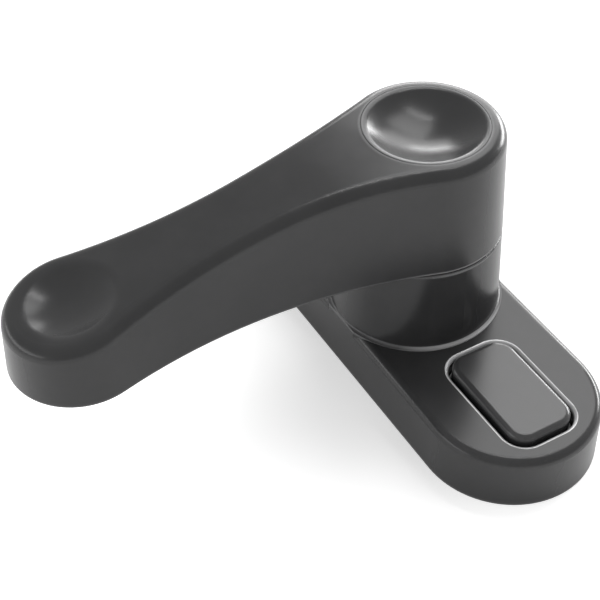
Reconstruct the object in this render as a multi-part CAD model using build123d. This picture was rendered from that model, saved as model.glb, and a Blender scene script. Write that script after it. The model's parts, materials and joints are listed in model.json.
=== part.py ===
from build123d import *
from math import cos, radians, sin, sqrt, tan
import os

# A push-button child safety lock for a window or door. An arm on a round pillar swings over
# the sash, and a sprung button in the base plate frees the leaf that latches it.
# Millimetres, +Z up from the mounting face, origin on the swing axis, +X towards the button.
# The arm points along -Y, the locked position, at swing angle 0.

# Base plate
plate_width = 25.0
end_offset = 23.4  # swing axis to the centre of either round end, and to either fixing hole
plate_height = 8.3
plate_draft = 1.5  # degrees
plate_round = 1.3
plate_wall = 2.0
plate_roof = 2.0
plate_rib = 1.6
well_floor = 3.0
well_corner = 3.2
well_rim = 0.5

# Fixing holes, countersunk at 90 degrees
fixing_radius = 2.1
fixing_head_radius = 3.6

# Button, and the cover on the other well
button_length = 16.9
button_width = 9.8
button_proud = 0.9
button_round = 0.85
button_wall = 1.3
button_roof = 1.4
button_travel = 2.0
button_gap = 0.5
button_lift = 0.15  # left under the skirt at full press
guide_gap = 0.15  # from the skirt's guide flange to the well
guide_height = 0.8
cover_gap = 0.08
cover_proud = 0.3
cover_round = 0.5
hook_width = 5.0
hook_reach = 0.8  # past the well's wall
hook_height = 1.0
nose_width = 4.4
nose_thickness = 1.6
nose_height = 1.2
slot_gap = 0.3

# Button springs
spring_radius = 1.4
spring_wire = 0.4
spring_turns = 4
spring_gap = 0.15  # from the spring to the end wall of the button
spring_peg_height = 0.8

# Back plate
back_length = 34.0
back_edge = 1.3  # from the back plate to the base plate's side
back_corner = 4.0
back_thickness = 1.0
back_screw_x = 13.5
back_screw_y = 7.6
back_screw_radius = 0.9
back_screw_head = 1.8
back_screw_length = 4.5

# Collar
collar_inset = 0.08  # from the collar's wall to the base plate's side
collar_top = 21.3
collar_wall = 2.0
collar_web = 4.0
collar_seat_depth = 0.6
collar_boss_radius = 7.2
collar_rib = 1.4
collar_rib_count = 6
collar_screw_land = 0.3  # from a screw head to the disc's pocket
collar_screw_radius = 1.1
collar_screw_boss = 2.3
collar_screw_head = 1.7
collar_screw_head_height = 1.4
collar_screw_length = 9.5
collar_draft = 3.0  # degrees
collar_edge = 0.25
collar_spigot_step = 1.2
foot_reach = 0.5
foot_thickness = 0.15
foot_flare = 0.4

# Spindle, bushes and what the spindle carries
spindle_radius = 4.0
spindle_square = 5.6
spindle_flats = 6.4
bush_radius = 5.5
bush_flange_radius = 6.3
bush_flange = 0.8
bush_length = 5.0
washer_thickness = 0.5
disc_radius = 6.4
disc_thickness = 1.6
disc_notch_depth = 1.7
disc_pocket_gap = 0.4
ring_radius = 5.0
ring_groove_radius = 3.2
ring_thickness = 0.6
ring_mouth = 4.6
spindle_tail = 0.3

# Latch leaf
leaf_width = 6.0
leaf_thickness = 0.5
leaf_anchor = -10.2
leaf_start = -12.8
leaf_end = 12.6
leaf_drop_room = 0.4
leaf_corner = 1.2
tooth_width = 3.0
tooth_height = 2.4
tooth_gap = 0.2
leaf_screw_radius = 0.9
leaf_screw_head = 1.9
leaf_screw_head_height = 1.3
leaf_screw_length = 3.0

# Arm
arm_draft = 3.4  # degrees
arm_edge = 0.15
arm_reach = 50.7  # swing axis to the centre of the round tip
tip_radius = 9.0
flank_radius = 77.0
split_gap = 0.3
hub_top = 37.8
crown_start = 4.0
crown_radius = 115.0
crown_slope = 10.5  # degrees
arm_round = 1.8
arm_wall = 2.2
arm_rib = 1.6
arm_core_end = 39.0
arm_rib_spacing = 8.0
hub_boss_radius = 7.0
hub_core_depth = 5.0
dish_land = 0.7  # from the dish's edge to the arm's rounded edge
dish_depth = 1.5
dish_round = 2.4
swing_range = 180.0  # degrees
stop_land = 0.7  # from the stop's groove to the bush's flange
stop_radius = 1.1
stop_length = 1.7
stop_gap = 0.2
stop_floor = 0.3

# Cap, and the screw and washer under it
cap_ring = 0.25
cap_rim = 0.6
cap_edge = 0.1
cap_dish_round = 1.2
cap_dish_depth = 2.6
cap_wall = 1.2
cap_skirt = 1.3
cap_gap = 0.03
screw_radius = 1.65
screw_head_radius = 3.6
screw_head_height = 2.2
screw_length = 7.0
screw_washer_radius = 4.5
screw_washer_thickness = 0.8
screw_room = 0.3
square_room = 0.2

# Sash pad
pad_radius = 6.5
pad_thickness = 2.0
pad_proud = 0.5
pad_stem_radius = 2.0
pad_stem_length = 3.0

# Cross recess of a screw, as shares of the head's radius
recess_reach = 0.6
recess_width = 0.2

# Fits
seat_gap = 0.02  # pressed and screwed pieces
turn_gap = 0.05  # turning pieces
over = 1.0  # how far a cut runs past a face

# Heights, from the back plate upwards
leaf_bottom = back_thickness + button_travel + leaf_drop_room
leaf_top = leaf_bottom + leaf_thickness
spindle_bottom = leaf_top + spindle_tail
ring_bottom = spindle_bottom + spindle_tail
disc_bottom = ring_bottom + ring_thickness
disc_top = disc_bottom + disc_thickness
washer_top = disc_top + washer_thickness
lower_flange_bottom = washer_top + turn_gap
lower_flange_top = lower_flange_bottom + bush_flange
seat_floor = plate_height - collar_seat_depth
arm_bottom = collar_top + split_gap
upper_flange_top = arm_bottom - turn_gap
upper_flange_bottom = upper_flange_top - bush_flange - split_gap
cap_floor = hub_top - cap_dish_depth - cap_wall - screw_room
hub_web_top = cap_floor - screw_head_height - screw_washer_thickness
square_top = hub_web_top - square_room
button_bottom = well_floor + button_travel + button_lift
button_top = plate_height + button_proud

# Radii and lengths that follow
collar_slope = tan(radians(collar_draft))
arm_slope = tan(radians(arm_draft))
plate_top_half = plate_width / 2 - plate_height * tan(radians(plate_draft))
back_width = plate_width - 2 * back_edge
collar_foot_radius = plate_top_half - collar_inset
collar_spigot_radius = collar_foot_radius - collar_spigot_step
collar_top_radius = collar_foot_radius - (collar_top - plate_height) * collar_slope
foot_radius = collar_foot_radius + foot_reach
hub_radius = collar_top_radius
hub_top_radius = hub_radius - (hub_top - arm_bottom) * arm_slope
cap_radius = hub_top_radius - arm_round - cap_ring
well_length = button_length + 2 * button_gap
well_width = button_width + 2 * button_gap
disc_pocket_radius = disc_radius + disc_pocket_gap
collar_screw_circle = disc_pocket_radius + collar_screw_head + collar_screw_land
stop_circle = bush_flange_radius + stop_land + stop_gap + stop_radius
tooth_outside = disc_radius - tooth_gap
spring_offset = button_length / 2 - button_wall - spring_radius - spring_wire / 2 - spring_gap


def crown_height(distance):
    """Height of the arm's top on its centre line, on the straight slope towards the tip."""
    slope = radians(crown_slope)
    bend_end = crown_start + crown_radius * sin(slope)
    return hub_top - crown_radius * (1 - cos(slope)) - (distance - bend_end) * tan(slope)


tip_top = crown_height(arm_reach)
tip_top_radius = tip_radius - (tip_top - arm_bottom) * arm_slope
dish_radius = tip_top_radius - arm_round - dish_land


def rod(radius, bottom, top, x=0, y=0):
    """A round bar between two heights."""
    middle = (Align.CENTER, Align.CENTER, Align.MIN)
    return Pos(x, y, bottom) * Cylinder(radius, top - bottom, align=middle)


def taper(bottom_radius, top_radius, bottom, top, x=0, y=0):
    """A cone's frustum between two heights."""
    middle = (Align.CENTER, Align.CENTER, Align.MIN)
    return Pos(x, y, bottom) * Cone(bottom_radius, top_radius, top - bottom, align=middle)


def bar(x0, x1, width, bottom, top):
    """A square-edged bar along X, centred on Y."""
    low = (Align.MIN, Align.CENTER, Align.MIN)
    return Pos(x0, 0, bottom) * Box(x1 - x0, width, top - bottom, align=low)


def slab(length, width, corner, bottom, top, x=0):
    """A plate with round corners between two heights."""
    return Pos(x, 0, bottom) * extrude(RectangleRounded(length, width, corner), top - bottom)


def cross_slot(head_radius, face, floor):
    """The cross recess in a screw head, between the head's face and the recess's floor."""
    length = 2 * recess_reach * head_radius
    wing = Box(length, recess_width * head_radius, abs(floor - face))
    return Pos(0, 0, (face + floor) / 2) * (wing + Rot(0, 0, 90) * wing)


def pan_screw(radius, head_radius, head_height, length):
    """A pan-head screw, head down, with the head's bearing face at height 0."""
    head = rod(head_radius, -head_height, 0)
    head = fillet(head.edges().sort_by(Axis.Z)[0], head_height / 2)
    screw = head + rod(radius - seat_gap, 0, length)
    return screw - cross_slot(head_radius, -head_height, -head_height / 2)


def lever_outline(hub, tip, flank):
    """The arm's outline: two round ends joined by hollow flanks that run into both."""
    along = (arm_reach**2 + (hub + flank) ** 2 - (tip + flank) ** 2) / (2 * arm_reach)
    aside = sqrt((hub + flank) ** 2 - along**2)
    web = Polygon((0, 0), (-aside, -along), (0, -arm_reach), (aside, -along))
    web -= Pos(aside, -along) * Circle(flank)
    web -= Pos(-aside, -along) * Circle(flank)
    return web + Circle(hub) + Pos(0, -arm_reach) * Circle(tip)


def lever_block(inset, bottom, drop):
    """The arm's drafted body, drawn in by an inset, under a crown lowered by a drop."""
    outline = lever_outline(hub_radius - inset, tip_radius - inset, flank_radius + inset)
    body = Pos(0, 0, bottom) * extrude(outline, hub_top - bottom, taper=arm_draft)
    slope = radians(crown_slope)
    bend_end = crown_start + crown_radius * sin(slope)
    bend_low = hub_top - crown_radius * (1 - cos(slope))
    far = arm_reach + tip_radius + over
    back = hub_radius + over
    crown = Line((back, hub_top), (-crown_start, hub_top))
    crown += TangentArc((-crown_start, hub_top), (-bend_end, bend_low), tangent=(-1, 0))
    far_top = bend_low - (far - bend_end) * tan(slope)
    floor = bottom - over
    corners = [(-far, far_top), (-far, floor), (back, floor), (back, hub_top)]
    crown += Polyline((-bend_end, bend_low), *corners)
    side = make_face(Plane.YZ * crown)
    return body & Pos(0, 0, -drop) * extrude(side, 2 * hub_radius, both=True)


def button_well(side):
    """The cut for the button or the cover, with its fixing hole."""
    x = side * end_offset
    hole = rod(fixing_radius, -over, well_floor + over, x)
    head_depth = fixing_head_radius - fixing_radius
    sink = taper(fixing_radius, fixing_head_radius, well_floor - head_depth, well_floor, x)
    well = slab(well_length, well_width, well_corner, well_floor, plate_height + over, x)
    return well + hole + sink


def plate_cores():
    """Hollows under the plate beside both wells, with a rib across the middle of each."""
    inside = SlotCenterToCenter(2 * end_offset, plate_width - 2 * plate_wall)
    core = Pos(0, 0, -over) * extrude(inside, plate_height - plate_roof + over)
    tall = (-2 * over, plate_height)
    core -= bar(-back_length / 2 - plate_wall, back_length / 2 + plate_wall, plate_width, *tall)
    for side in (-1, 1):
        x = side * end_offset
        length = well_length + 2 * plate_wall
        core -= slab(length, well_width + 2 * plate_wall, well_corner + plate_wall, *tall, x)
        core -= bar(x - plate_rib / 2, x + plate_rib / 2, plate_width, *tall)
    return core


def latch_chamber():
    """The room under the pillar for the latch disc, the leaf and the button's nose."""
    room = leaf_width + 2 * slot_gap
    well_edge = end_offset - well_length / 2
    chamber = rod(disc_pocket_radius, 0, seat_floor + over)
    chamber += bar(leaf_start - slot_gap, 0, room, 0, leaf_top)
    nose_top = button_bottom + nose_height + slot_gap
    chamber += bar(0, leaf_end + slot_gap, room, 0, nose_top)
    slot_bottom = leaf_top - button_travel - slot_gap
    chamber += bar(leaf_end, well_edge + over, nose_width + 2 * slot_gap, slot_bottom, nose_top)
    return chamber


def base_housing():
    """The plate, its edge rounded except where the collar's foot runs flush with its sides."""
    outline = SlotCenterToCenter(2 * end_offset, plate_width)
    blank = extrude(outline, plate_height, taper=plate_draft)
    body = fillet(blank.faces().sort_by(Axis.Z)[-1].edges(), plate_round)
    for side in (-1, 1):
        body -= button_well(side)
    rims = body.edges().filter_by_position(Axis.Z, plate_height - seat_gap, plate_height + seat_gap)
    reach = well_length / 2 + seat_gap
    mouths = [e for e in rims if abs(abs(e.center().X) - end_offset) < reach]
    body = fillet([e for e in mouths if abs(e.center().Y) < well_width / 2 + seat_gap], well_rim)
    body += blank & rod(foot_radius, 0, plate_height)
    body -= rod(collar_spigot_radius + seat_gap, seat_floor, plate_height + over)
    body -= plate_cores()
    body -= latch_chamber()
    room = 2 * seat_gap
    body -= slab(back_length + room, back_width + room, back_corner, -over, back_thickness)
    far_edge = end_offset + well_length / 2
    hook_top = button_bottom + hook_height + slot_gap
    hook_room = hook_width + 2 * slot_gap
    body -= bar(far_edge - over, far_edge + hook_reach + slot_gap, hook_room, well_floor, hook_top)
    for turn in (-1, 1):
        y = turn * collar_screw_circle
        shoulder = seat_floor - plate_roof
        body -= rod(collar_screw_head + seat_gap, 0, shoulder, 0, y)
        body -= rod(collar_screw_radius + seat_gap, 0, seat_floor + over, 0, y)
        x = turn * back_screw_x
        body -= rod(back_screw_radius, 0, back_screw_length + over, x, turn * back_screw_y)
    body -= rod(leaf_screw_radius, 0, leaf_bottom + leaf_screw_length + seat_gap, leaf_anchor)
    return body


def back_plate():
    plate = slab(back_length, back_width, back_corner, 0, back_thickness)
    for turn in (-1, 1):
        at = (turn * back_screw_x, turn * back_screw_y)
        plate -= taper(back_screw_head, back_screw_radius, 0, back_thickness, *at)
    return plate


def back_plate_screws():
    head = taper(back_screw_head - seat_gap, back_screw_radius - seat_gap, 0, back_thickness)
    screw = head + rod(back_screw_radius - seat_gap, back_thickness, back_screw_length)
    screw -= cross_slot(back_screw_head, 0, back_thickness / 2)
    places = [(turn * back_screw_x, turn * back_screw_y) for turn in (-1, 1)]
    return Compound([Pos(x, y, 0) * screw for x, y in places])


def collar():
    """A drafted pillar cored from below around a bearing boss, with a stop groove on top."""
    body = taper(collar_foot_radius, collar_top_radius, plate_height, collar_top)
    body = fillet(body.edges().sort_by(Axis.Z)[-1], collar_edge)
    body += rod(foot_radius, plate_height, plate_height + foot_thickness)
    corners = body.edges().filter_by(GeomType.CIRCLE).group_by(Axis.Z)[1]
    body = fillet(corners.sort_by(lambda edge: edge.radius)[0], foot_flare)
    body &= bar(-foot_radius, foot_radius, 2 * plate_top_half, plate_height, collar_top)
    body += rod(collar_spigot_radius, seat_floor, plate_height)
    web_bottom = collar_top - collar_web
    foot = collar_foot_radius - collar_wall
    core = taper(foot, foot - (web_bottom - seat_floor) * collar_slope, seat_floor, web_bottom)
    core -= rod(collar_boss_radius, seat_floor, web_bottom)
    for count in range(collar_rib_count):
        rib = bar(0, collar_foot_radius, collar_rib, seat_floor, web_bottom)
        core -= Rot(0, 0, 360 * count / collar_rib_count) * rib
    for turn in (-1, 1):
        core -= rod(collar_screw_boss, seat_floor, web_bottom, 0, turn * collar_screw_circle)
    body -= core
    body -= rod(bush_radius, seat_floor - over, collar_top + over)
    body -= rod(collar_boss_radius, seat_floor - over, lower_flange_top)
    body -= rod(bush_flange_radius + seat_gap, upper_flange_bottom, collar_top + over)
    track = CenterArc((0, 0), stop_circle, -swing_range, swing_range)
    groove = extrude(SlotArc(track, 2 * (stop_radius + stop_gap)), stop_length + over)
    body -= Pos(0, 0, arm_bottom - stop_length - stop_floor) * groove
    pilot_top = seat_floor - plate_roof + collar_screw_length + seat_gap
    for turn in (-1, 1):
        y = turn * collar_screw_circle
        body -= rod(collar_screw_radius, seat_floor - over, pilot_top, 0, y)
    return body


def collar_screws():
    head = (collar_screw_head, collar_screw_head_height)
    screw = pan_screw(collar_screw_radius, *head, collar_screw_length)
    height = seat_floor - plate_roof
    return Compound([Pos(0, turn * collar_screw_circle, height) * screw for turn in (-1, 1)])


def lower_bush():
    bush = rod(bush_flange_radius, lower_flange_bottom, lower_flange_top)
    bush += rod(bush_radius - seat_gap, lower_flange_top, lower_flange_top + bush_length)
    return bush - rod(spindle_radius + turn_gap, 0, hub_top)


def upper_bush():
    bush = rod(bush_flange_radius, upper_flange_bottom, upper_flange_top)
    bush += rod(bush_radius - seat_gap, upper_flange_bottom - bush_length, upper_flange_bottom)
    return bush - rod(spindle_radius + turn_gap, 0, hub_top)


def latch_leaf():
    """A sprung strip screwed down at one end, with a tooth bent up out of it."""
    length = leaf_end - leaf_start
    middle = (leaf_start + leaf_end) / 2
    strip = slab(length, leaf_width, leaf_corner, leaf_bottom, leaf_top, middle)
    inside = tooth_outside - leaf_thickness
    strip -= bar(inside - tooth_height, inside, tooth_width, 0, leaf_top + over)
    strip += bar(inside, tooth_outside, tooth_width, leaf_bottom, leaf_top + tooth_height)
    return strip - rod(leaf_screw_radius, 0, leaf_top + over, leaf_anchor)


def leaf_screw():
    screw = pan_screw(leaf_screw_radius, leaf_screw_head, leaf_screw_head_height, leaf_screw_length)
    return Pos(leaf_anchor, 0, leaf_bottom) * screw


def button_springs():
    """Two coil springs between the well's floor and the button's roof."""
    height = button_top - button_roof - well_floor - spring_wire
    path = Helix(height / spring_turns, height, spring_radius)
    section = Plane(path @ 0, z_dir=path % 0) * Circle(spring_wire / 2)
    coil = Pos(0, 0, well_floor + spring_wire / 2) * sweep(section, path)
    return Compound([Pos(end_offset + turn * spring_offset, 0, 0) * coil for turn in (-1, 1)])


def well_plug(gap, bottom, top):
    """A block in the shape of a well, drawn in by a gap and centred on the well."""
    return slab(well_length - 2 * gap, well_width - 2 * gap, well_corner - gap, bottom, top)


def capped_shell(gap, bottom, top, edge_round):
    """The hollow moulding that fills a well, open below."""
    shell = well_plug(gap, bottom, top)
    shell = fillet(shell.faces().sort_by(Axis.Z)[-1].edges(), edge_round)
    return shell - well_plug(gap + button_wall, bottom - over, top - button_roof)


def button():
    """The push button, with its nose over the leaf, a hook at its far end and spring pegs."""
    shell = capped_shell(button_gap, button_bottom, button_top, button_round)
    guide = well_plug(guide_gap, button_bottom, button_bottom + guide_height)
    shell += guide - well_plug(button_gap, button_bottom, button_bottom + guide_height)
    half = button_length / 2
    hook_top = button_bottom + hook_height
    hook_end = well_length / 2 + hook_reach
    shell += bar(half - button_wall, hook_end, hook_width, button_bottom, hook_top)
    nose_end = leaf_end - end_offset
    nose_tip = nose_end - nose_thickness
    shell += bar(nose_tip, button_wall - half, nose_width, button_bottom, button_bottom + nose_height)
    shell += bar(nose_tip, nose_end, nose_width, leaf_top + turn_gap, button_bottom)
    roof = button_top - button_roof
    peg = spring_radius - spring_wire
    for turn in (-1, 1):
        shell += rod(peg, roof - spring_peg_height, roof + seat_gap, turn * spring_offset)
    return Pos(end_offset, 0, 0) * shell


def screw_cover():
    """The clip-in cover over the other fixing hole, standing on the well's floor."""
    shell = capped_shell(cover_gap, well_floor, plate_height + cover_proud, cover_round)
    return Pos(-end_offset, 0, 0) * shell


def arm_cores():
    """The hollows under the arm between hub and tip, parted by one long rib and cross ribs."""
    core = lever_block(arm_wall, arm_bottom - over, arm_wall)
    core -= rod(hub_radius, 0, hub_top)
    tall = 4 * hub_top
    wide = 4 * hub_radius
    core -= Pos(0, -arm_core_end - arm_reach / 2, 0) * Box(wide, arm_reach, tall)
    core -= Box(arm_rib, 4 * arm_reach, tall)
    ribs = int((arm_core_end - hub_radius) / arm_rib_spacing)
    for count in range(1, ribs + 1):
        core -= Pos(0, -hub_radius - count * arm_rib_spacing, 0) * Box(wide, arm_rib, tall)
    return core


def arm():
    """The drafted lever: crowned top, finger dish, cored and ribbed underside."""
    body = lever_block(0, arm_bottom, 0)
    top = body.faces().filter_by(lambda face: face.normal_at().Z > 0.9)
    shared = [e for e in top.edges() if sum(e in face.edges() for face in top) > 1]
    body = fillet([e for e in top.edges() if e not in shared], arm_round)
    body = fillet(body.faces().sort_by(Axis.Z)[0].edges(), arm_edge)
    ball = (dish_radius**2 + dish_depth**2) / (2 * dish_depth)
    tilt = Pos(0, -arm_reach, tip_top) * Rot(crown_slope, 0, 0)
    body -= tilt * Pos(0, 0, ball - dish_depth) * Sphere(ball)
    circles = body.edges().filter_by(GeomType.CIRCLE)
    body = fillet([e for e in circles if abs(e.radius - dish_radius) < seat_gap], dish_round)
    body -= arm_cores()
    ring = hub_radius - arm_wall
    hub_core_top = arm_bottom + hub_core_depth
    hub_core = taper(ring, ring - hub_core_depth * arm_slope, arm_bottom, hub_core_top)
    hub_core -= rod(hub_boss_radius, 0, hub_top)
    body -= hub_core
    body += rod(stop_radius, arm_bottom - stop_length, hub_core_top, stop_circle)
    body -= rod(cap_radius + cap_gap, cap_floor, hub_top + over)
    body -= rod(screw_washer_radius + cap_gap, hub_web_top, cap_floor + over)
    half = spindle_square / 2 + turn_gap
    body -= bar(-half, half, 2 * half, 0, hub_top)
    pad_top = arm_bottom - pad_proud + pad_thickness
    stem_top = pad_top + pad_stem_length + turn_gap
    body -= rod(pad_radius + turn_gap, 0, pad_top, 0, -arm_reach)
    body -= rod(pad_stem_radius + seat_gap, 0, stem_top, 0, -arm_reach)
    return body


def sash_pad():
    bottom = arm_bottom - pad_proud
    top = bottom + pad_thickness
    pad = rod(pad_radius, bottom, top)
    pad = fillet(pad.edges().sort_by(Axis.Z)[0], pad_proud)
    return Pos(0, -arm_reach, 0) * (pad + rod(pad_stem_radius, top, top + pad_stem_length))


def hub_cap():
    """The dished cap in the top of the hub, hollow below."""
    dish = cap_radius - cap_rim
    ball = (dish**2 + cap_dish_depth**2) / (2 * cap_dish_depth)
    centre = hub_top - cap_dish_depth + ball
    cap = rod(cap_radius, cap_floor, hub_top) - Pos(0, 0, centre) * Sphere(ball)
    for place, edge_round in ((-1, cap_edge), (0, cap_dish_round)):
        rims = cap.edges().group_by(Axis.Z)[-1]
        cap = fillet(rims.sort_by(lambda edge: edge.radius)[place], edge_round)
    hollow = rod(cap_radius - cap_skirt, cap_floor - over, hub_top)
    return cap - (hollow - Pos(0, 0, centre) * Sphere(ball + cap_wall))


def spindle():
    """A steel spindle: square in the arm, round in the bushes, flatted for the latch disc."""
    body = rod(spindle_radius, spindle_bottom, arm_bottom)
    half = spindle_square / 2
    body += bar(-half, half, spindle_square, arm_bottom, square_top)
    flat = bar(spindle_flats / 2, 2 * spindle_radius, 4 * spindle_radius, 0, disc_top)
    body -= flat + Rot(0, 0, 180) * flat
    groove = rod(2 * spindle_radius, ring_bottom, disc_bottom)
    body -= groove - rod(ring_groove_radius, 0, hub_top)
    bore_bottom = hub_web_top + screw_washer_thickness - screw_length - over
    return body - rod(screw_radius, bore_bottom, hub_top)


def spindle_screw():
    screw = pan_screw(screw_radius, screw_head_radius, screw_head_height, screw_length)
    return Pos(0, 0, hub_web_top + screw_washer_thickness) * Rot(180, 0, 0) * screw


def spindle_washer():
    washer = rod(screw_washer_radius, hub_web_top, hub_web_top + screw_washer_thickness)
    return washer - rod(screw_radius + turn_gap, 0, hub_top)


def latch_disc():
    """The disc that the leaf's tooth holds, with a notch for every quarter turn of the swing."""
    disc = rod(disc_radius, disc_bottom, disc_top)
    shaft = rod(spindle_radius + seat_gap, 0, hub_top)
    across = spindle_flats / 2 + seat_gap
    disc -= shaft & bar(-across, across, 4 * spindle_radius, 0, hub_top)
    notch_width = tooth_width + 2 * tooth_gap
    notch = bar(disc_radius - disc_notch_depth, disc_radius + over, notch_width, 0, hub_top)
    for angle in (0, swing_range / 2, swing_range):
        disc -= Rot(0, 0, angle) * notch
    return disc


def thrust_washer():
    washer = rod(bush_flange_radius, disc_top, washer_top)
    return washer - rod(spindle_radius + seat_gap, 0, hub_top)


def retaining_ring():
    """The spring ring in the spindle's groove that holds the disc up."""
    ring = rod(ring_radius, ring_bottom, disc_bottom)
    ring -= rod(ring_groove_radius + seat_gap, 0, hub_top)
    return ring - Rot(0, 0, 90) * bar(0, 2 * ring_radius, ring_mouth, 0, hub_top)


pieces = (
    base_housing,
    back_plate,
    back_plate_screws,
    screw_cover,
    collar,
    collar_screws,
    lower_bush,
    upper_bush,
    latch_leaf,
    leaf_screw,
    button_springs,
    button,
    arm,
    sash_pad,
    hub_cap,
    spindle,
    spindle_screw,
    spindle_washer,
    latch_disc,
    thrust_washer,
    retaining_ring,
)

os.makedirs("parts", exist_ok=True)
for piece in pieces:
    export_step(piece(), f"parts/{piece.__name__}.step")
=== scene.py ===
"""Finish, light and camera for a push-button child safety lock, in metres."""

import json
from math import cos, pi, radians, sin

import bmesh
import bpy
from mathutils import Matrix, Vector


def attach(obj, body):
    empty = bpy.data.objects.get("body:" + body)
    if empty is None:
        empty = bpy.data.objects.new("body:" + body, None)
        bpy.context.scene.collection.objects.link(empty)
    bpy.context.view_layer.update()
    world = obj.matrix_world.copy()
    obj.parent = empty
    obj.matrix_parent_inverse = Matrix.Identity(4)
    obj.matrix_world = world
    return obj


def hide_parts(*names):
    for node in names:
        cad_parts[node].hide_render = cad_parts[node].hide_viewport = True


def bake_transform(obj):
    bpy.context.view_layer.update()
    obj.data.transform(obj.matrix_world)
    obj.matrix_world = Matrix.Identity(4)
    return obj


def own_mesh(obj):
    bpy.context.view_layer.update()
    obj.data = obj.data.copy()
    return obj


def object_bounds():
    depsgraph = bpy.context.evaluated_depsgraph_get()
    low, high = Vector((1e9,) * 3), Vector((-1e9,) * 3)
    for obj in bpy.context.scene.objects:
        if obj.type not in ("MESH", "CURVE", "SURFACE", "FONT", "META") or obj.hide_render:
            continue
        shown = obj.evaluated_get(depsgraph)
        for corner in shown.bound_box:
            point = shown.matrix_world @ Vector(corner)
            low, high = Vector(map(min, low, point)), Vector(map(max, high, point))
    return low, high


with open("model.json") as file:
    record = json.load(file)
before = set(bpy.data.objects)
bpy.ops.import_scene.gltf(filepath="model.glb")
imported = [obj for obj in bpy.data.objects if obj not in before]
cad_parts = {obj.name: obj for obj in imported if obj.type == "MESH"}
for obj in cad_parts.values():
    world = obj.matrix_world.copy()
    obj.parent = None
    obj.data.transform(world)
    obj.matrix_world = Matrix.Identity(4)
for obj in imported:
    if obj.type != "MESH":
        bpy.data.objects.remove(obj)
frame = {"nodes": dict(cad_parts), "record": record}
cad_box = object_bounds()

# Camera, fitted to the object's outline in a 600 x 600 picture
picture_width = 600
focal_pixels = 1326.073
view_azimuth = radians(60.182)
view_elevation = radians(44.362)
view_roll = radians(0.406)
view_distance = 0.187635
view_target = Vector((0, 0, 0.015))
view_shift_right = 0.016472
view_shift_up = 0.006438
sensor_width = 36.0
nearest_seen = 0.01

# Noise patterns: the share of their range that is used, and their levels of detail
noise_range = (1 / 3, 2 / 3)
fine_detail = 2.0
mottle_detail = 3.0

# Charcoal plastic, with its waves to the metre and its grain's depth in metres
charcoal_dark = (0.033, 0.033, 0.034)
charcoal_light = (0.040, 0.040, 0.041)
charcoal_roughness = (0.22, 0.26)
charcoal_shine = 0.5
charcoal_mottle_waves = 140
charcoal_grain_waves = 3200
charcoal_grain_depth = 0.000005
charcoal_grain_strength = 0.25
button_shine = 0.70

# Edges painted paler, partly as wear and partly as a painted highlight for edge glints: how far
# the look inwards goes, and how open it is under a face and at an edge
# The edge tone is partly wear and partly a painted highlight standing in for glints
charcoal_edge_wear_and_glint = (0.12, 0.12, 0.122)
# A painted highlight: the pale tone of edges near the button, standing in for glints
charcoal_painted_glint = (0.42, 0.42, 0.425)
edge_reach = 0.0005
edge_samples = 12
edge_openness = (0.93, 0.70)
# Where the painted highlight on edges near the button fades in, along X and up Z
painted_glint_along = (0.009, 0.012)
painted_glint_above = (0.005, 0.006)

# Fillet round the button's well: the box that holds it, its corners' cut, its index and its pale
# tone, which is a painted highlight
rim_centre = (0.0234, 0, 0.0083)
rim_half_size = (0.0096, 0.0060, 0.0006)
rim_corner = 1.8
rim_flat_facing = 0.9995
rim_index = (1.5, 2.6)
# The rim's pale tone is a painted highlight along the well's edge
rim_painted_highlight = (0.50, 0.50, 0.505)

# Metals, with the stretch of their streaks along each axis
steel_dark = (0.42, 0.43, 0.44)
steel_light = (0.60, 0.61, 0.62)
steel_roughness = (0.28, 0.42)
steel_stretch = (1, 12, 1)
spring_dark = (0.26, 0.26, 0.27)
spring_light = (0.40, 0.40, 0.41)
spring_roughness = (0.24, 0.36)
spring_stretch = (1, 16, 1)
streak_waves = 900
streak_depth = 0.00001
streak_strength = 0.15

# Bearing plastic and soft rubber
acetal_dark = (0.66, 0.65, 0.60)
acetal_light = (0.76, 0.75, 0.70)
acetal_roughness = (0.34, 0.46)
acetal_mottle_waves = 300
acetal_glow = 0.1
rubber_dark = (0.014, 0.014, 0.014)
rubber_light = (0.024, 0.024, 0.024)
rubber_roughness = (0.62, 0.78)
rubber_mottle_waves = 500
rubber_grain_waves = 4200
rubber_grain_depth = 0.00003
rubber_grain_strength = 0.4

# Springs: where the leaf is clamped and where it is pressed along X, and the slices cut between
# them
leaf_clamped = -0.0083
leaf_pressed = 0.0098
leaf_slices = 24

# Floor, with the lift from close by to far away for the camera and for reflections
floor_size = 12.0
floor_drop = 0.00002
floor_colour = (0.86, 0.86, 0.86)
floor_roughness = 0.9
floor_lift_seen = (0.44, 0.71)
floor_lift_mirrored = (0.12, 0.33)
floor_lift_range = (0.022, 0.045)

# Lights: name, azimuth from +X and elevation in degrees, width, height, level of the face
world_level = 0.5
world_level_seen = 1.0
light_target = Vector((0, 0, 0.02))
light_distance = 0.6
softboxes = (
    ("key", 104, 9, 0.34, 0.15, 13.0),
    ("wall", 138, 19, 0.42, 0.40, 3.0),
    ("strip", 146, 20, 0.20, 0.06, 7.0),
    ("overhead", 124, 53, 0.32, 0.26, 2.9),
    ("streak", 122, 72, 0.26, 0.03, 14.0),
    ("fill", 250, 14, 0.80, 0.12, 2.2),
)


def noise(tree, scale, detail, stretch=(1, 1, 1)):
    """A noise pattern in the object's own space, with its scale in waves to the metre."""
    place = tree.nodes.new("ShaderNodeTexCoord")
    turn = tree.nodes.new("ShaderNodeMapping")
    turn.inputs["Scale"].default_value = stretch
    pattern = tree.nodes.new("ShaderNodeTexNoise")
    pattern.inputs["Scale"].default_value = scale
    pattern.inputs["Detail"].default_value = detail
    tree.links.new(place.outputs["Object"], turn.inputs["Vector"])
    tree.links.new(turn.outputs["Vector"], pattern.inputs["Vector"])
    return pattern.outputs["Fac"]


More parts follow.
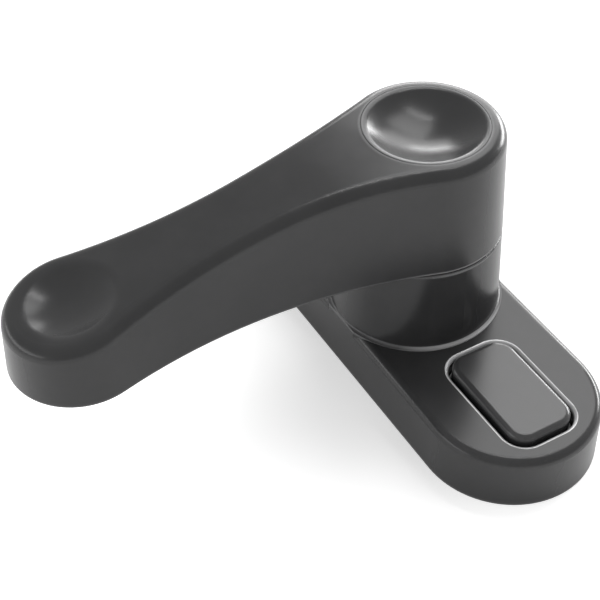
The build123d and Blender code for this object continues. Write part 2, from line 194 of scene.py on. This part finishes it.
def two_tone(tree, factor, dark, light):
    """A colour that runs between two tones over the noise's range."""
    ramp = tree.nodes.new("ShaderNodeValToRGB")
    low, high = ramp.color_ramp.elements
    low.position, high.position = noise_range
    low.color = (*dark, 1)
    high.color = (*light, 1)
    tree.links.new(factor, ramp.inputs["Fac"])
    return ramp.outputs["Color"]


def map_range(tree, value, start, end=(0, 1)):
    """A number that runs between the two ends as the value goes between the two starts."""
    node = tree.nodes.new("ShaderNodeMapRange")
    node.inputs["From Min"].default_value, node.inputs["From Max"].default_value = start
    node.inputs["To Min"].default_value, node.inputs["To Max"].default_value = end
    tree.links.new(value, node.inputs["Value"])
    return node


def spread(tree, factor, limits):
    """A number that runs between two limits over the noise's range."""
    return map_range(tree, factor, noise_range, limits).outputs["Result"]


def mix_colours(tree, factor, first, second):
    """A mix of two colours, each a fixed tone or a socket."""
    mix = tree.nodes.new("ShaderNodeMixRGB")
    tree.links.new(factor, mix.inputs["Fac"])
    for name, colour in (("Color1", first), ("Color2", second)):
        if isinstance(colour, tuple):
            mix.inputs[name].default_value = (*colour, 1)
        else:
            tree.links.new(colour, mix.inputs[name])
    return mix.outputs["Color"]


def calculate(tree, operation, first, second):
    """One operation on two numbers, a socket and then a fixed number or a socket."""
    node = tree.nodes.new("ShaderNodeMath")
    node.operation = operation
    tree.links.new(first, node.inputs[0])
    if isinstance(second, (int, float)):
        node.inputs[1].default_value = second
    else:
        tree.links.new(second, node.inputs[1])
    return node.outputs["Value"]


def grain(tree, shader, height, depth, strength):
    """Gives the shader a bump of the given depth in metres."""
    bump = tree.nodes.new("ShaderNodeBump")
    bump.inputs["Strength"].default_value = strength
    bump.inputs["Distance"].default_value = depth
    tree.links.new(height, bump.inputs["Height"])
    tree.links.new(bump.outputs["Normal"], shader.inputs["Normal"])


def new_material(name):
    """A new material, with its node tree and its shader."""
    material = bpy.data.materials.new(name)
    material.use_nodes = True
    tree = material.node_tree
    return material, tree, tree.nodes["Principled BSDF"]


def object_axes(tree):
    """The X, Y and Z of a point in the object's own space."""
    place = tree.nodes.new("ShaderNodeTexCoord")
    split = tree.nodes.new("ShaderNodeSeparateXYZ")
    tree.links.new(place.outputs["Object"], split.inputs["Vector"])
    return split.outputs


def sharp_edges(tree):
    """A mask that is 1 on sharp outer edges and 0 on faces, fillets and inner corners."""
    inside = tree.nodes.new("ShaderNodeAmbientOcclusion")
    inside.inside = True
    inside.only_local = True
    inside.samples = edge_samples
    inside.inputs["Distance"].default_value = edge_reach
    return map_range(tree, inside.outputs["AO"], edge_openness).outputs["Result"]


def edge_tone(tree):
    """The tone of edges: paler as wear, and palest near the button, where the pale tone is a
    painted highlight for glints.
    """
    axes = object_axes(tree)
    along = map_range(tree, axes["X"], painted_glint_along).outputs["Result"]
    above = map_range(tree, axes["Z"], painted_glint_above).outputs["Result"]
    share = calculate(tree, "MULTIPLY", along, above)
    # Near the button the edges take the painted highlight tone
    return mix_colours(tree, share, charcoal_edge_wear_and_glint, charcoal_painted_glint)


def charcoal_plastic(name, shine):
    """Satin moulding: faint flow mottle, a fine eroded grain, and edges painted paler, partly as
    wear and partly as a painted highlight for glints.
    """
    material, tree, shader = new_material(name)
    mottle = noise(tree, charcoal_mottle_waves, mottle_detail)
    fine = noise(tree, charcoal_grain_waves, fine_detail)
    plain = two_tone(tree, mottle, charcoal_dark, charcoal_light)
    # Sharp edges are paled: partly wear, partly a painted highlight for glints
    worn_and_painted_glint = mix_colours(tree, sharp_edges(tree), plain, edge_tone(tree))
    tree.links.new(worn_and_painted_glint, shader.inputs["Base Color"])
    shader.inputs["Specular IOR Level"].default_value = shine
    tree.links.new(spread(tree, mottle, charcoal_roughness), shader.inputs["Roughness"])
    grain(tree, shader, fine, charcoal_grain_depth, charcoal_grain_strength)
    return material


def rim_mask(tree):
    """A mask that is 1 on the fillet round the button's well and 0 elsewhere on the housing."""
    place = tree.nodes.new("ShaderNodeTexCoord")
    scaled = tree.nodes.new("ShaderNodeVectorMath")
    scaled.operation = "MULTIPLY_ADD"
    scaled.inputs[1].default_value = [1 / half for half in rim_half_size]
    scaled.inputs[2].default_value = [-c / half for c, half in zip(rim_centre, rim_half_size)]
    size = tree.nodes.new("ShaderNodeVectorMath")
    size.operation = "ABSOLUTE"
    axes = tree.nodes.new("ShaderNodeSeparateXYZ")
    surface = tree.nodes.new("ShaderNodeNewGeometry")
    facing = tree.nodes.new("ShaderNodeSeparateXYZ")
    tree.links.new(place.outputs["Object"], scaled.inputs[0])
    tree.links.new(scaled.outputs["Vector"], size.inputs[0])
    tree.links.new(size.outputs["Vector"], axes.inputs["Vector"])
    tree.links.new(surface.outputs["True Normal"], facing.inputs["Vector"])
    corner = calculate(tree, "ADD", axes.outputs["X"], axes.outputs["Y"])
    mask = calculate(tree, "LESS_THAN", facing.outputs["Z"], rim_flat_facing)
    limits = [(axis, 1) for axis in axes.outputs] + [(corner, rim_corner)]
    for value, limit in limits:
        below = calculate(tree, "LESS_THAN", value, limit)
        mask = calculate(tree, "MULTIPLY", mask, below)
    return mask


def polish_and_paint_rim_highlight(material):
    """Paints a highlight on the fillet round the button's well as a pale tone, and polishes it
    with a higher index.
    """
    tree = material.node_tree
    shader = tree.nodes["Principled BSDF"]
    mask = rim_mask(tree)
    plain = shader.inputs["Base Color"].links[0].from_socket
    # The fillet's pale tone is a painted highlight
    tree.links.new(mix_colours(tree, mask, plain, rim_painted_highlight), shader.inputs["Base Color"])
    index = map_range(tree, mask, (0, 1), rim_index)
    tree.links.new(index.outputs["Result"], shader.inputs["IOR"])
    return material


def metal(name, dark, light, roughness, stretch):
    """Metal with drawn or rolled streaks along one direction."""
    material, tree, shader = new_material(name)
    streaks = noise(tree, streak_waves, mottle_detail, stretch)
    shader.inputs["Metallic"].default_value = 1.0
    tree.links.new(two_tone(tree, streaks, dark, light), shader.inputs["Base Color"])
    tree.links.new(spread(tree, streaks, roughness), shader.inputs["Roughness"])
    grain(tree, shader, streaks, streak_depth, streak_strength)
    return material


def bearing_plastic():
    """Natural acetal, slightly mottled and a little translucent."""
    material, tree, shader = new_material("bearing_plastic")
    mottle = noise(tree, acetal_mottle_waves, mottle_detail)
    tree.links.new(two_tone(tree, mottle, acetal_dark, acetal_light), shader.inputs["Base Color"])
    tree.links.new(spread(tree, mottle, acetal_roughness), shader.inputs["Roughness"])
    shader.inputs["Subsurface Weight"].default_value = acetal_glow
    return material


def soft_rubber():
    """Black rubber with a matt, grained face."""
    material, tree, shader = new_material("soft_rubber")
    mottle = noise(tree, rubber_mottle_waves, mottle_detail)
    fine = noise(tree, rubber_grain_waves, fine_detail)
    tree.links.new(two_tone(tree, mottle, rubber_dark, rubber_light), shader.inputs["Base Color"])
    tree.links.new(spread(tree, mottle, rubber_roughness), shader.inputs["Roughness"])
    grain(tree, shader, fine, rubber_grain_depth, rubber_grain_strength)
    return material


def dress_nodes():
    """Gives every node the finish of its material slot, and two handled nodes their own."""
    finishes = {
        "charcoal_plastic": charcoal_plastic("charcoal_plastic", charcoal_shine),
        "steel": metal("steel", steel_dark, steel_light, steel_roughness, steel_stretch),
        "spring_steel": metal(
            "spring_steel", spring_dark, spring_light, spring_roughness, spring_stretch
        ),
        "bearing_plastic": bearing_plastic(),
        "soft_rubber": soft_rubber(),
    }
    handled = {
        "base_housing": polish_and_paint_rim_highlight(charcoal_plastic("housing_plastic", charcoal_shine)),
        "button": charcoal_plastic("button_plastic", button_shine),
    }
    for row in frame["record"]["subparts"]:
        node = frame["nodes"][row["node"]]
        node.data.materials.clear()
        node.data.materials.append(handled.get(row["node"], finishes[row["material_slot"]]))


def stand_in(node, name):
    """A piece of the node's own shape in its place, with the node hidden."""
    piece = bpy.data.objects.new(name, frame["nodes"][node].data.copy())
    bpy.context.scene.collection.objects.link(piece)
    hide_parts(node)
    return piece


def add_springs():
    """Gives the coils and the leaf pieces of their own: the coils are held on the base, and the
    leaf is cut into slices across its length.
    """
    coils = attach(stand_in("button_springs", "coil_springs"), "base")
    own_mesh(coils)
    leaf = stand_in("latch_leaf", "leaf_spring")
    strip = bmesh.new()
    strip.from_mesh(leaf.data)
    for i in range(1, leaf_slices):
        x = leaf_clamped + (leaf_pressed - leaf_clamped) * i / leaf_slices
        parts = [*strip.verts, *strip.edges, *strip.faces]
        bmesh.ops.bisect_plane(strip, geom=parts, plane_co=(x, 0, 0), plane_no=(1, 0, 0))
    strip.to_mesh(leaf.data)
    strip.free()
    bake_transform(leaf)


def add_camera():
    """The photograph's view."""
    back = Vector((
        sin(view_azimuth) * cos(view_elevation),
        -cos(view_azimuth) * cos(view_elevation),
        sin(view_elevation),
    ))
    right = Vector((cos(view_azimuth), sin(view_azimuth), 0))
    up = back.cross(right)
    place = view_target + back * view_distance - right * view_shift_right - up * view_shift_up
    across = right * cos(view_roll) - up * sin(view_roll)
    upward = right * sin(view_roll) + up * cos(view_roll)
    lens = bpy.data.cameras.new("camera")
    lens.sensor_width = sensor_width
    lens.lens = sensor_width * focal_pixels / picture_width
    lens.clip_start = nearest_seen
    camera = bpy.data.objects.new("camera", lens)
    turn = Matrix((across, upward, back)).transposed().to_4x4()
    camera.matrix_world = Matrix.Translation(place) @ turn
    bpy.context.scene.collection.objects.link(camera)
    bpy.context.scene.camera = camera


def add_softbox(name, azimuth, elevation, width, height, level):
    """An area light aimed at the lock, with its face as bright as the level, where 1 is white."""
    a, e = radians(azimuth), radians(elevation)
    away = Vector((cos(a) * cos(e), sin(a) * cos(e), sin(e)))
    lamp = bpy.data.lights.new(name, "AREA")
    lamp.shape = "RECTANGLE"
    lamp.size = width
    lamp.size_y = height
    lamp.energy = level * pi * width * height
    light = bpy.data.objects.new(name, lamp)
    aim = (-away).to_track_quat("-Z", "Y").to_matrix().to_4x4()
    light.matrix_world = Matrix.Translation(light_target + away * light_distance) @ aim
    bpy.context.scene.collection.objects.link(light)


def lift_floor(tree, shader):
    """Lifts the floor to white for the camera and in reflections, less so near the object."""
    path = tree.nodes.new("ShaderNodeLightPath")
    place = tree.nodes.new("ShaderNodeTexCoord")
    away = tree.nodes.new("ShaderNodeVectorMath")
    away.operation = "LENGTH"
    tree.links.new(place.outputs["Object"], away.inputs[0])
    shares = []
    for ray, lift in (("Is Camera Ray", floor_lift_seen), ("Is Glossy Ray", floor_lift_mirrored)):
        level = map_range(tree, away.outputs["Value"], floor_lift_range, lift)
        level.interpolation_type = "SMOOTHSTEP"
        shares.append(calculate(tree, "MULTIPLY", path.outputs[ray], level.outputs["Result"]))
    shader.inputs["Emission Color"].default_value = (1, 1, 1, 1)
    tree.links.new(calculate(tree, "ADD", *shares), shader.inputs["Emission Strength"])


def show_from_above(tree, shader):
    """Makes the floor clear from below, so that the lock's underside can be seen."""
    surface = tree.nodes.new("ShaderNodeNewGeometry")
    clear = tree.nodes.new("ShaderNodeBsdfTransparent")
    one_sided = tree.nodes.new("ShaderNodeMixShader")
    tree.links.new(surface.outputs["Backfacing"], one_sided.inputs["Fac"])
    tree.links.new(shader.outputs["BSDF"], one_sided.inputs[1])
    tree.links.new(clear.outputs["BSDF"], one_sided.inputs[2])
    tree.links.new(one_sided.outputs["Shader"], tree.nodes["Material Output"].inputs["Surface"])


def add_floor():
    """A pale floor just under the lock, which keeps its shadow."""
    half = floor_size / 2
    height = cad_box[0][2] - floor_drop
    corners = [(x * half, y * half, height) for x, y in ((-1, -1), (1, -1), (1, 1), (-1, 1))]
    mesh = bpy.data.meshes.new("floor")
    mesh.from_pydata(corners, [], [(0, 1, 2, 3)])
    floor = bpy.data.objects.new("floor", mesh)
    bpy.context.scene.collection.objects.link(floor)
    material, tree, shader = new_material("floor")
    shader.inputs["Base Color"].default_value = (*floor_colour, 1)
    shader.inputs["Roughness"].default_value = floor_roughness
    shader.inputs["Specular IOR Level"].default_value = 0.0
    lift_floor(tree, shader)
    show_from_above(tree, shader)
    mesh.materials.append(material)


def add_light():
    """A sky that the camera sees as white, and softboxes that the satin faces reflect."""
    world = bpy.data.worlds.new("studio")
    world.use_nodes = True
    tree = world.node_tree
    sky = tree.nodes["Background"]
    sky.inputs["Color"].default_value = (1, 1, 1, 1)
    path = tree.nodes.new("ShaderNodeLightPath")
    seen = path.outputs["Is Camera Ray"]
    level = map_range(tree, seen, (0, 1), (world_level, world_level_seen))
    tree.links.new(level.outputs["Result"], sky.inputs["Strength"])
    bpy.context.scene.world = world
    for row in softboxes:
        add_softbox(*row)


dress_nodes()
add_springs()
add_floor()
add_light()
add_camera()
bpy.context.scene.view_settings.view_transform = "Standard"
